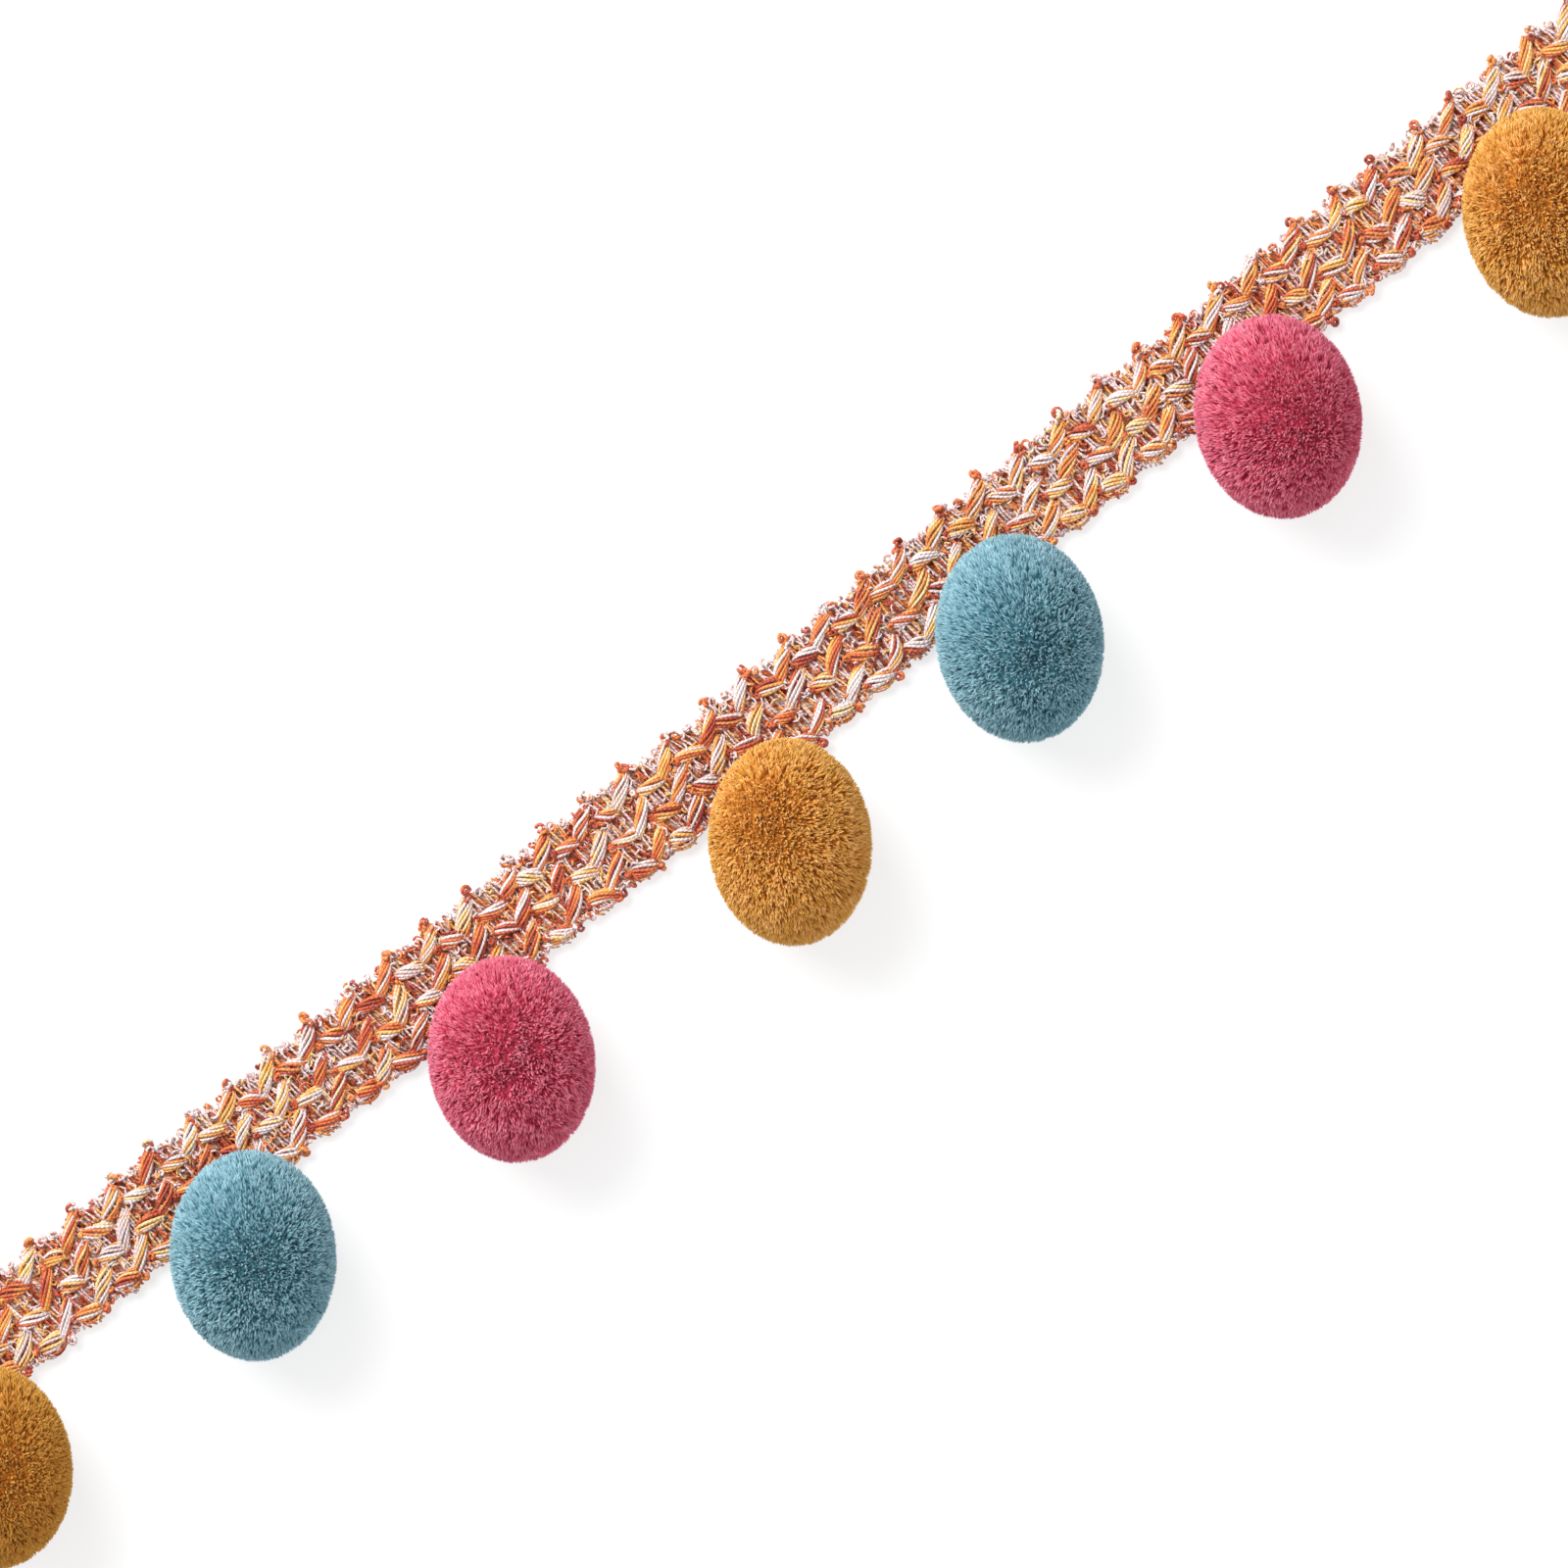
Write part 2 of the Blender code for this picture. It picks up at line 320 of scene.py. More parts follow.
def braidGround():
    # the same yarn seen deep between the stitches, matt, its colours darkened as painted shade
    look = braidGroundLook
    material, tree, shader = newMaterial("cottonKnottedGround", {"Roughness": 0.85})
    place = addNode(tree, "ShaderNodeTexCoord")
    dye = addNode(tree, "ShaderNodeTexNoise", {"Scale": look["dyePatches"], "Detail": 3.0}, {
        "Vector": place.outputs["Object"]})
    # the yarn's dyes, darker: painted shade deep between the stitches
    colour = addNode(tree, "ShaderNodeValToRGB", {"stops": (
        (0.34, "#8a2c14"),
        (0.44, "#b4502a"),
        (0.52, "#cf8548"),
        (0.60, "#d6bcb2"),
    )}, {"Fac": dye.outputs["Fac"]})
    threads = addNode(tree, "ShaderNodeTexWave", {
        "bands_direction": "DIAGONAL", "Scale": look["threads"], "Distortion": look["tangle"], "Detail": 2.0,
    }, {"Vector": place.outputs["Object"]})
    # painted shade between the threads, painted light on them
    depth = addNode(tree, "ShaderNodeMapRange", {"To Min": look["shades"][0], "To Max": look["shades"][1]}, {
        "Value": threads.outputs["Fac"]})
    toned = addNode(tree, "ShaderNodeVectorMath", {"operation": "SCALE"}, {
        0: colour.outputs["Color"], "Scale": depth.outputs[0]})
    tree.links.new(toned.outputs[0], shader.inputs["Base Color"])
    bump = addNode(tree, "ShaderNodeBump", {"Strength": 0.9, "Distance": look["relief"]}, {
        "Height": threads.outputs["Fac"]})
    tree.links.new(bump.outputs["Normal"], shader.inputs["Normal"])
    return material


pileDyes = {
    # painted shade deep between the yarn ends, the dye along them, and paler at their cut tips, partly
    # painted sheen
    "gold": {"root": "#9d5a1d", "body": "#c47a24", "tip": "#d7a24a", "bloom": "#f2dfb8"},
    "blue": {"root": "#386471", "body": "#548896", "tip": "#87afbb", "bloom": "#d6e6ea"},
    "pink": {"root": "#a9334a", "body": "#c23d59", "tip": "#d46680", "bloom": "#f2d2da"},
}
pileLook = {
    "shades": (0.84, 1.20),         # each yarn took the dye a little differently
    "fibreShades": (0.93, 1.10),
    "fibreLines": 4.0,              # across a tuft, so 0.08 mm apart
    "fibreSpots": 1.6,
    "ownLines": 571.0,              # any large number, so that no two tufts have the same lines
    "grains": 2400.0,               # a metre: packed yarns 0.4 mm across
    "grainShades": (1.25, 0.45),    # from the middle of a grain to its rim, where painted shade falls between the packed yarns
    "deep": (0.32, 0.5),            # the share of the way out where the grains give way to ends
    "palest": 0.40,                 # how much of the bloom the palest cut ends take, partly as painted sheen
}


def pompomPile(yarn):
    # brushed acrylic, cut: matt, with painted shade where the eye sees down between the ends, pale at the
    # tips, partly as painted sheen
    dye = pileDyes[yarn]
    look = pileLook
    material, tree, shader = newMaterial(f"acrylicCutPile_{yarn}", {
        "Roughness": 0.9,
        "Sheen Weight": 0.15,
        "Sheen Roughness": 0.5,
        "Sheen Tint": linear(dye["bloom"]),
        "Specular IOR Level": 0.2,
    })
    depth = addNode(tree, "ShaderNodeAttribute", {"attribute_name": "depth"})
    # painted shade at the roots, the dye along the ends, paler tips partly painted sheen
    ends = addNode(tree, "ShaderNodeValToRGB", {"stops": (
        (0.00, dye["root"]),
        (0.55, dye["body"]),
        (0.78, dye["body"]),
        (0.96, dye["tip"]),
    )}, {"Fac": depth.outputs["Fac"]})
    tint = addNode(tree, "ShaderNodeAttribute", {"attribute_name": "tint"})
    shade = addNode(tree, "ShaderNodeMapRange", {"To Min": look["shades"][0], "To Max": look["shades"][1]}, {
        "Value": tint.outputs["Fac"]})
    # hair-fine fibres run along every tuft
    strand = addNode(tree, "ShaderNodeAttribute", {"attribute_name": "strand"})
    own = addNode(tree, "ShaderNodeMath", {"operation": "MULTIPLY", 1: look["ownLines"]}, {
        0: tint.outputs["Fac"]})
    lines = addNode(tree, "ShaderNodeMath", {"operation": "MULTIPLY_ADD", 1: look["fibreLines"]}, {
        0: strand.outputs["Fac"], 2: own.outputs[0]})
    spot = addNode(tree, "ShaderNodeCombineXYZ", {}, {"X": lines.outputs[0], "Y": depth.outputs["Fac"]})
    fine = addNode(tree, "ShaderNodeTexNoise", {"Scale": look["fibreSpots"], "Detail": 1.0}, {
        "Vector": spot.outputs[0]})
    fineShade = addNode(tree, "ShaderNodeMapRange", {
        "From Min": 0.3, "From Max": 0.7, "To Min": look["fibreShades"][0], "To Max": look["fibreShades"][1],
    }, {"Value": fine.outputs["Fac"]})
    both = addNode(tree, "ShaderNodeMath", {"operation": "MULTIPLY"}, {
        0: shade.outputs[0], 1: fineShade.outputs[0]})
    # deep down the imported yarns show as grains, with painted shade at their rims
    place = addNode(tree, "ShaderNodeTexCoord")
    grains = addNode(tree, "ShaderNodeTexVoronoi", {"Scale": look["grains"]}, {
        "Vector": place.outputs["Object"]})
    grainShade = addNode(tree, "ShaderNodeMapRange", {
        "From Min": 0.2, "From Max": 0.7, "To Min": look["grainShades"][0], "To Max": look["grainShades"][1],
    }, {"Value": grains.outputs["Distance"]})
    isDeep = addNode(tree, "ShaderNodeMapRange", {"From Min": look["deep"][0], "From Max": look["deep"][1]}, {
        "Value": depth.outputs["Fac"]})
    grained = addNode(tree, "ShaderNodeMix", {3: 1.0}, {0: isDeep.outputs[0], 2: grainShade.outputs[0]})
    every = addNode(tree, "ShaderNodeMath", {"operation": "MULTIPLY"}, {
        0: both.outputs[0], 1: grained.outputs[0]})
    toned = addNode(tree, "ShaderNodeVectorMath", {"operation": "SCALE"}, {
        0: ends.outputs["Color"], "Scale": every.outputs[0]})
    # the palest fibres show their cut ends as light specks, partly painted sheen
    paleFibre = addNode(tree, "ShaderNodeMapRange", {
        "From Min": 0.30, "From Max": 0.95, "To Max": look["palest"]}, {"Value": tint.outputs["Fac"]})
    paleEnd = addNode(tree, "ShaderNodeMapRange", {"From Min": 0.80, "From Max": 1.0}, {
        "Value": depth.outputs["Fac"]})
    pale = addNode(tree, "ShaderNodeMath", {"operation": "MULTIPLY"}, {
        0: paleFibre.outputs[0], 1: paleEnd.outputs[0]})
    speckled = addNode(tree, "ShaderNodeMix", {"data_type": "RGBA", 7: linear(dye["bloom"])}, {
        0: pale.outputs[0], 6: toned.outputs[0]})
    tree.links.new(speckled.outputs[2], shader.inputs["Base Color"])
    return material


# Stage and camera

view = {
    "tilt": math.radians(38.95),       # the tape climbs to the right by this much
    "aim": (6.3 * mm, -8.7 * mm, 8.0 * mm),
    "width": 208.0 * mm,
    "distance": 1.5,
    "sensor": 36.0,
    "floorDrop": 0.02 * mm,
    "skyStrength": 0.62,
}


def makeStage():
    right = Vector((math.cos(view["tilt"]), -math.sin(view["tilt"]), 0))
    up = Vector((math.sin(view["tilt"]), math.cos(view["tilt"]), 0))
    aim = Vector(view["aim"])

    camera = bpy.data.cameras.new("camera")
    camera.sensor_width = view["sensor"]
    camera.lens = view["sensor"] * view["distance"] / view["width"]
    camera.clip_start = 0.01
    camera.clip_end = 50
    eye = bpy.data.objects.new("camera", camera)
    eye.location = aim + Vector((0, 0, view["distance"]))
    eye.rotation_euler = Matrix((right, up, Vector((0, 0, 1)))).transposed().to_euler()
    bpy.context.scene.collection.objects.link(eye)
    bpy.context.scene.camera = eye

    bpy.ops.mesh.primitive_plane_add(size=20, location=(0, 0, -view["floorDrop"]))
    floor = bpy.context.object
    floor.name = "floor"
    # opal acrylic lit from behind, as on a light table: white, with only a faint shadow
    table = newMaterial("opalAcrylicTable", {
        "Base Color": linear("#9a9a9a"),
        "Roughness": 0.9,
        "Emission Color": linear("#ffffff"),
        "Emission Strength": 0.68,
    })[0]
    floor.data.materials.append(table)

    world = bpy.data.worlds.new("studio")
    bpy.context.scene.world = world
    world.use_nodes = True
    sky = world.node_tree.nodes["Background"]
    sky.inputs["Color"].default_value = (1, 1, 1, 1)
    sky.inputs["Strength"].default_value = view["skyStrength"]
    bpy.context.scene.view_settings.view_transform = "Standard"

    lamps = {
        # name: size in metres, watts, and how far right, up the frame and above the trim it hangs
        "keyLight": (0.9, 20.5, (-0.68, 0.66, 0.75)),
        "fillLight": (1.2, 2.5, (0.7, -0.3, 1.0)),
    }
    for name, (size, watts, (across, upward, above)) in lamps.items():
        lamp = bpy.data.lights.new(name, "AREA")
        lamp.size = size
        lamp.energy = watts
        hung = bpy.data.objects.new(name, lamp)
        hung.location = aim + right * across + up * upward + Vector((0, 0, above))
        hung.rotation_euler = (aim - hung.location).to_track_quat("-Z", "Y").to_euler()
        hung.visible_camera = False
        bpy.context.scene.collection.objects.link(hung)


makeStage()
print("stage: camera, floor and lamps")


# The tape's stitches: level floats, climbing floats, and the small knots between them

def stitchPlaces():
    # the start of each stitch's level float along and across the tape, and its row
    stitch = np.arange(-2, tape["stitches"] + 1)[:, None]
    row = np.arange(len(tape["rowLevels"]))[None, :]
    x = -tapeLength / 2 + tape["firstStitch"] + stitch * tape["pitch"] + row * tape["rowShift"]
    y = np.broadcast_to(np.array(tape["rowLevels"])[None, :], x.shape)
    uneven = np.random.default_rng(seeds["stitches"]).normal(0, tape["unevenness"], (2,) + x.shape)
    return (x + uneven[0]).ravel(), (y + uneven[1]).ravel(), np.broadcast_to(row, x.shape).ravel()


def swollen(endShare, middleShare):
    # endShare at the ends, rising to 1 in the middle
    return endShare + (1 - endShare) * middleShare


floatShape = {
    # what the ends have of the middle's width, height and ply thickness
    "endWidth": 0.70, "endHeight": 0.6, "endThickness": 0.85,
    "fullness": 0.7,            # below 1, a float stays full and high towards its ends
    # how one float differs from the next, and one ply from another
    "widths": (0.80, 1.15), "twists": (0.6, 1.3), "thicknesses": (0.88, 1.12),
    "plyWander": 0.12,          # radians
}


def bundles(starts, ends, spec, chance):
    # a float: several plies twisted a little about each other, widest and highest in the middle
    shape = floatShape
    count = len(starts)
    t = np.linspace(0, 1, spec["points"])[None, :, None]
    rise = np.sin(math.pi * t)
    middle = starts[:, None] + (ends - starts)[:, None] * t
    way = unit((ends - starts) * np.array([1, 1, 0]))
    sideways = np.stack([-way[:, 1], way[:, 0], np.zeros(count)], -1)[:, None]
    bow = chance.normal(0, spec["bow"], (count, 1, 1))
    upwards = np.array([0, 0, 1.0])
    full = rise ** shape["fullness"]
    middle = middle + sideways * bow * rise + upwards * spec["arch"] * full
    width = spec["halfWidth"] * swollen(shape["endWidth"], full)
    width = width * chance.uniform(*shape["widths"], (count, 1, 1))
    height = spec["halfHeight"] * swollen(shape["endHeight"], rise)
    phase = chance.uniform(0, 2 * math.pi, (count, 1, 1))
    twist = spec["twist"] * chance.uniform(*shape["twists"], (count, 1, 1))
    paths = []
    for ply in range(spec["plies"]):
        wander = chance.normal(0, shape["plyWander"], (count, 1, 1))
        angle = phase + 2 * math.pi * ply / spec["plies"] + wander + twist * (t - 0.5)
        paths.append(middle + sideways * width * np.cos(angle) + upwards * height * np.sin(angle))
    paths = np.stack(paths, 1).reshape(count * spec["plies"], spec["points"], 3)
    radii = spec["plyRadius"] * swollen(shape["endThickness"], rise[..., 0])
    return paths, radii * chance.uniform(*shape["thicknesses"], (len(paths), 1))


dyeing = {
    # tints as in yarnDyes
    "undyed": (0.78, 1.0),
    "floats": (0.18, 0.60),
    "plyUnevenness": 0.16,
    "palestPly": 0.70,
    "undyedPlies": 0.30,        # share of a float's plies
}


def floatTints(count, plies, chance):
    # one float is mostly one dye, and about a third of its plies stay undyed
    base = chance.uniform(*dyeing["floats"], (count, 1))
    tint = np.clip(base + chance.normal(0, dyeing["plyUnevenness"], (count, plies)), 0, dyeing["palestPly"])
    undyed = chance.random((count, plies)) < dyeing["undyedPlies"]
    tint = np.where(undyed, chance.uniform(*dyeing["undyed"], (count, plies)), tint)
    return tint.ravel()


levelFloat = {
    "plies": 8, "points": 7, "sides": 4, "plyRadius": 0.235 * mm,
    "halfWidth": 0.82 * mm, "halfHeight": 0.33 * mm, "arch": 0.46 * mm, "bow": 0.15 * mm, "twist": 2.4,
    "from": (-0.1 * mm, 0.30 * mm), "to": (4.0 * mm, -0.35 * mm),
}
climbFloat = {
    "plies": 8, "points": 7, "sides": 4, "plyRadius": 0.235 * mm,
    "halfWidth": 0.78 * mm, "halfHeight": 0.33 * mm, "arch": 0.48 * mm, "bow": 0.25 * mm, "twist": 2.8,
    "from": (3.3 * mm, -0.45 * mm), "to": (7.4 * mm, 3.3 * mm),
}
floatWander = 0.26 * mm     # of each end of a float


def makeFloats(material):
    chance = np.random.default_rng(seeds["floats"])
    x, y = stitchPlaces()[:2]
    low = np.full(len(x), tape["groundTop"] + tape["seat"])
    yarns = Yarns()
    for spec in (levelFloat, climbFloat):
        wander = chance.normal(0, floatWander, (2, len(x), 2))
        starts, ends = [
            np.stack([x + spec[end][0] + off[:, 0], y + spec[end][1] + off[:, 1], low], -1)
            for end, off in zip(("from", "to"), wander)]
        paths, radii = bundles(starts, ends, spec, chance)
        yarns.add(paths, radii, spec["sides"], floatTints(len(x), spec["plies"], chance))
    return yarns.piece("stitchFloats", material)


def curls(centres, tilts, radius, thickness, share, points, chance):
    # short bent lengths of one yarn: part of a circle, or nearly all of one for a knot
    sizes, thicknesses = (0.8, 1.2), (0.85, 1.15)   # from one bend to the next
    count = len(centres)
    axes = unit(np.stack([
        chance.normal(0, tilts, count), chance.normal(0, tilts, count), np.ones(count)], -1))
    aslant = np.array([0.37, 0.91, 0.21])           # along none of the axes
    first = unit(np.cross(axes, aslant))
    second = np.cross(axes, first)
    begin = chance.uniform(0, 2 * math.pi, (count, 1))
    angle = begin + np.linspace(0, 2 * math.pi, points)[None, :] * np.broadcast_to(share, (count, 1))
    size = (radius * chance.uniform(*sizes, (count, 1)))[..., None]
    paths = centres[:, None] + size * (
        first[:, None] * np.cos(angle)[..., None] + second[:, None] * np.sin(angle)[..., None])
    radii = thickness * chance.uniform(*thicknesses, (count, 1)) * np.ones((1, points))
    return paths, radii, axes


def scattered(places, spread, height, chance):
    # places (n, 2) on the tape, moved about a little, at a height above the ground
    heightUnevenness = 0.06 * mm
    flat = places + chance.normal(0, spread, places.shape)
    lift = tape["groundTop"] + height + chance.normal(0, heightUnevenness, len(places))
    return np.concatenate([flat, lift[:, None]], axis=1)


def mixedTints(count, undyedShare, palest, chance):
    # single yarns: a share of them undyed, the others of any dye from brick up to the palest
    undyed = chance.random(count) < undyedShare
    return np.where(undyed, chance.uniform(*dyeing["undyed"], count), chance.uniform(0.0, palest, count))


knot = {
    "place": (-0.35 * mm, 0.35 * mm), "height": 0.50 * mm, "spread": 0.14 * mm, "tilt": 0.6,
    "radius": 0.34 * mm, "thickness": 0.24 * mm, "share": 0.9, "points": 9, "sides": 5,
    "turns": 2, "nextPlace": (0.10 * mm, -0.22 * mm), "nextDrop": 0.12 * mm,
    "undyedShare": 0.10, "palest": 0.42,
}
ladder = {
    "perStitch": 13, "thickness": 0.215 * mm, "points": 4, "sides": 3,
    "unevenness": 0.12 * mm, "bow": 0.28 * mm, "slant": 0.42 * mm, "leanBack": 0.45 * mm, "arch": 0.26 * mm,
    # from and to across the tape, under and between the level floats
    "spans": ((-6.6 * mm, -5.2 * mm), (-5.2 * mm, -1.1 * mm), (-1.1 * mm, 3.0 * mm), (3.0 * mm, 6.0 * mm)),
    "undyedShare": 0.54, "palest": 0.64,
}
filler = {
    "total": 3000, "reach": 6.6 * mm, "edge": 5.8 * mm, "height": 0.62 * mm, "spread": 0.1 * mm, "tilt": 0.18,
    "radius": 0.68 * mm, "radii": (0.5, 1.3), "thickness": 0.20 * mm, "share": (0.20, 0.60),
    "points": 4, "sides": 3, "endDrop": 0.45 * mm,
    "undyedShare": 0.46, "palest": 0.66,
}


def makeKnots(material):
    chance = np.random.default_rng(seeds["knots"])
    x, y = stitchPlaces()[:2]
    yarns = Yarns()

    # the yarn turns round itself where a float begins: tight turns
    for turn in range(knot["turns"]):
        places = np.stack([x, y], -1) + np.array(knot["place"]) + turn * np.array(knot["nextPlace"])
        centres = scattered(places, knot["spread"], knot["height"] - turn * knot["nextDrop"], chance)
        paths, radii, across = curls(
            centres, knot["tilt"], knot["radius"], knot["thickness"], knot["share"], knot["points"], chance)
        tints = mixedTints(len(x), knot["undyedShare"], knot["palest"], chance)
        yarns.add(paths, radii, knot["sides"], tints, across)

    # thin binding threads side by side across the rows
    t = np.linspace(0, 1, ladder["points"])[None, :]
    threads = tape["stitches"] * ladder["perStitch"]
    for low, high in ladder["spans"]:
        shift = chance.normal(0, ladder["unevenness"], (threads, 5))
        across = np.linspace(-tapeLength / 2, tapeLength / 2, threads) + shift[:, 0]
        bow = chance.normal(0, ladder["bow"], (threads, 1)) * np.sin(math.pi * t)
        slant = chance.normal(0, ladder["slant"], (threads, 1))
        if low < tape["rowLevels"][0]:
            low = low - edgeWave(across, tape["lowerCrest"])[:, None]
        if high > tape["rowLevels"][2]:
            high = high + edgeWave(across, tape["upperCrest"])[:, None]
        paths = np.stack([
            across[:, None] + bow + t * (slant - ladder["leanBack"]),
            (low + shift[:, 2:3]) + t * (high - low + shift[:, 3:4]),
            tape["groundTop"] + tape["seat"] + ladder["arch"] * np.sin(math.pi * t) + shift[:, 4:5] / 2,
        ], -1)
        radii = np.full((threads, ladder["points"]), ladder["thickness"])
        tints = mixedTints(threads, ladder["undyedShare"], ladder["palest"], chance)
        yarns.add(paths, radii, ladder["sides"], tints)

    # loose bends of yarn in and out everywhere between
    x = chance.uniform(-tapeLength / 2, tapeLength / 2, filler["total"])
    y = chance.uniform(-filler["reach"], filler["reach"], filler["total"])
    inside = (y < filler["edge"] + edgeWave(x, tape["upperCrest"])) & (
        y > -filler["edge"] - edgeWave(x, tape["lowerCrest"]))
    places = np.stack([x, y], -1)[inside]
    total = len(places)
    centres = scattered(places, filler["spread"], filler["height"], chance)
    share = chance.uniform(*filler["share"], (total, 1))
    radius = filler["radius"] * chance.uniform(*filler["radii"], (total, 1))
    paths, radii, across = curls(
        centres, filler["tilt"], radius, filler["thickness"], share, filler["points"], chance)
    # both ends dip into the ground
    paths[..., 2] -= filler["endDrop"] * np.linspace(-1, 1, filler["points"])[None, :] ** 2
    tints = mixedTints(total, filler["undyedShare"], filler["palest"], chance)
    yarns.add(paths, radii, filler["sides"], tints, across)
    return yarns.piece("stitchKnots", material)


# the edge's knots and picots, in mm: which row they sit on, how far along and across from the
# start of a stitch, ring radius, yarn thickness, height, and how many turns
edgeKnots = (
    (2, 7.5, 3.85, 0.52, 0.27, 0.30, 2),
    (2, 7.0, 3.00, 0.42, 0.24, 0.45, 1),
    (2, 1.7, 3.10, 0.52, 0.19, 0.10, 2),
    (2, 3.5, 2.75, 0.46, 0.19, 0.10, 2),
    (2, 5.2, 2.80, 0.42, 0.19, 0.10, 1),
    (0, 4.1, -1.25, 0.46, 0.27, 0.20, 2),
    (0, -0.9, -0.70, 0.48, 0.19, 0.0, 2),
    (0, 5.2, -0.55, 0.44, 0.19, 0.0, 2),
)
edgeKnot = {
    "spread": 0.20 * mm, "nextRise": 0.1, "tilt": 0.8, "share": (0.7, 0.95), "points": 10, "sides": 5,
    # yarns thinner than this are mostly undyed
    "thin": 0.2, "undyedThin": 0.75, "undyedThick": 0.2, "palest": 0.45,
}
lowerArc = {
    "plies": 5, "points": 7, "sides": 5, "plyRadius": 0.20 * mm,
    "halfWidth": 0.42 * mm, "halfHeight": 0.24 * mm, "arch": 0.30 * mm, "bow": 0.08 * mm, "twist": 0.8,
    "from": (-0.3 * mm, -0.45 * mm), "to": (4.2 * mm, -0.55 * mm),
    "sink": 0.2 * mm, "drop": 0.80 * mm, "drops": (0.8, 1.2),
}


def makeEdges(material):
    chance = np.random.default_rng(seeds["edges"])
    x, y, row = stitchPlaces()
    yarns = Yarns()
    for onRow, along, across, radius, thickness, height, turns in edgeKnots:
        chosen = row == onRow
        undyedShare = edgeKnot["undyedThin"] if thickness < edgeKnot["thin"] else edgeKnot["undyedThick"]
        for turn in range(turns):
            places = np.stack([x[chosen], y[chosen]], -1) + np.array([along, across]) * mm
            lift = (height + edgeKnot["nextRise"] * turn) * mm
            centres = scattered(places, edgeKnot["spread"], lift, chance)
            share = chance.uniform(*edgeKnot["share"], (len(centres), 1))
            paths, radii, axes = curls(
                centres, edgeKnot["tilt"], radius * mm, thickness * mm, share, edgeKnot["points"], chance)
            tints = mixedTints(len(centres), undyedShare, edgeKnot["palest"], chance)
            yarns.add(paths, radii, edgeKnot["sides"], tints, axes)

    # thin floats hang in arcs along the lower edge
    chosen = row == 0
    count = chosen.sum()
    low = np.full(count, tape["groundTop"] - lowerArc["sink"])
    starts, ends = [
        np.stack([x[chosen] + lowerArc[end][0], y[chosen] + lowerArc[end][1], low], -1)
        for end in ("from", "to")]
    paths, radii = bundles(starts, ends, lowerArc, chance)
    t = np.linspace(0, 1, lowerArc["points"])[None, :]
    drops = chance.uniform(*lowerArc["drops"], (len(paths), 1))
    paths[..., 1] -= lowerArc["drop"] * np.sin(math.pi * t) * drops
    yarns.add(paths, radii, lowerArc["sides"], floatTints(count, lowerArc["plies"], chance))
    return yarns.piece("edgeLoops", material)


ground = {
    "columns": 300, "rows": 12, "low": -6.0 * mm, "high": 5.6 * mm, "inset": 0.1 * mm,
    "bottom": 0.12 * mm, "lump": 0.16 * mm,
    "edgeThickness": 0.35,      # of the middle's
    "edgeRows": 2.5,            # over which it thins
}


def makeGround(material):
    # the knotted sheet under the stitches: thin, lumpy on both sides, with a wavy edge
    chance = np.random.default_rng(seeds["ground"])
    columns, rows = ground["columns"], ground["rows"]
    end = tapeLength / 2 - ground["inset"]
    x = np.linspace(-end, end, columns)[:, None] + np.zeros((1, rows))
    share = np.linspace(0, 1, rows)[None, :]
    high = ground["high"] + edgeWave(x, tape["upperCrest"])
    low = ground["low"] - edgeWave(x, tape["lowerCrest"])
    y = low + share * (high - low) + sag(x)
    lumps = chance.uniform(-1, 1, (2, columns, rows)) * ground["lump"]
    inner = np.sqrt(np.clip(np.minimum(share, 1 - share) * rows / ground["edgeRows"], 0, 1))
    half = (tape["groundTop"] - ground["bottom"]) / 2
    centre = ground["bottom"] + half
    thickness = half * swollen(ground["edgeThickness"], inner)
    top = centre + thickness + lumps[0] * inner
    bottom = centre - thickness + np.abs(lumps[1])
    upper = np.stack([x, y, top], -1).reshape(-1, 3)
    lower = np.stack([x, y, bottom], -1).reshape(-1, 3)
    total = columns * rows
    column, row = np.meshgrid(np.arange(columns - 1), np.arange(rows - 1), indexing="ij")
    corner = (column * rows + row).ravel()
    quads = np.stack([corner, corner + rows, corner + rows + 1, corner + 1], -1)
    faces = quads.tolist() + (quads[:, ::-1] + total).tolist()
    rim = [k * rows for k in range(columns)] + [(columns - 1) * rows + k for k in range(1, rows)]
    rim += [k * rows + rows - 1 for k in range(columns - 2, -1, -1)] + list(range(rows - 2, 0, -1))
    for k, here in enumerate(rim):
        there = rim[(k + 1) % len(rim)]
        faces.append([there, here, here + total, there + total])
    return meshPiece("tapeGround", np.concatenate([upper, lower]), faces, material)


yarn = braidYarn()
tapeGround = makeGround(braidGround())
stitchFloats = makeFloats(yarn)
stitchKnots = makeKnots(yarn)
edgeLoops = makeEdges(yarn)
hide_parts("tape")
for piece in (tapeGround, stitchFloats, stitchKnots, edgeLoops):
    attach(piece, "root")
    print("tape piece", piece.name, len(piece.data.polygons), "faces")


# Pompoms

# sizes and places in mm, lean in degrees; the tie is where the yarns spread from, off the middle
pompomColumns = ("node", "yarn", "along", "outset", "wide", "long", "lean", "tieAside", "tieAlong", "tone")
pompomRows = (
    # tone darkens a pompom's whole pile; the first pompom's is painted shade, for less light at that end of
    # the trim
    ("pompom_1_gold", "gold", -132.5, 6.0, 22.4, 27.6, 32.0, 1.0, -1.0, -0.45),
    ("pompom_2_blue", "blue", -87.7, 6.2, 22.4, 28.4, 35.0, 0.3, -1.6, 0.0),
    ("pompom_3_pink", "pink", -44.7, 7.5, 22.5, 27.9, 31.0, 0.2, 0.8, 0.0),
    ("pompom_4_gold", "gold", 2.1, 7.8, 22.0, 28.0, 34.0, -2.6, 2.2, 0.0),
    ("pompom_5_blue", "blue", 42.7, 6.4, 22.6, 28.2, 30.0, 2.2, -2.6, 0.0),
    ("pompom_6_pink", "pink", 87.8, 5.1, 22.5, 27.6, 29.0, 2.8, -1.8, 0.0),
    ("pompom_7_gold", "gold", 132.4, 6.4, 22.4, 28.4, 31.0, -1.0, 1.2, 0.0),
)
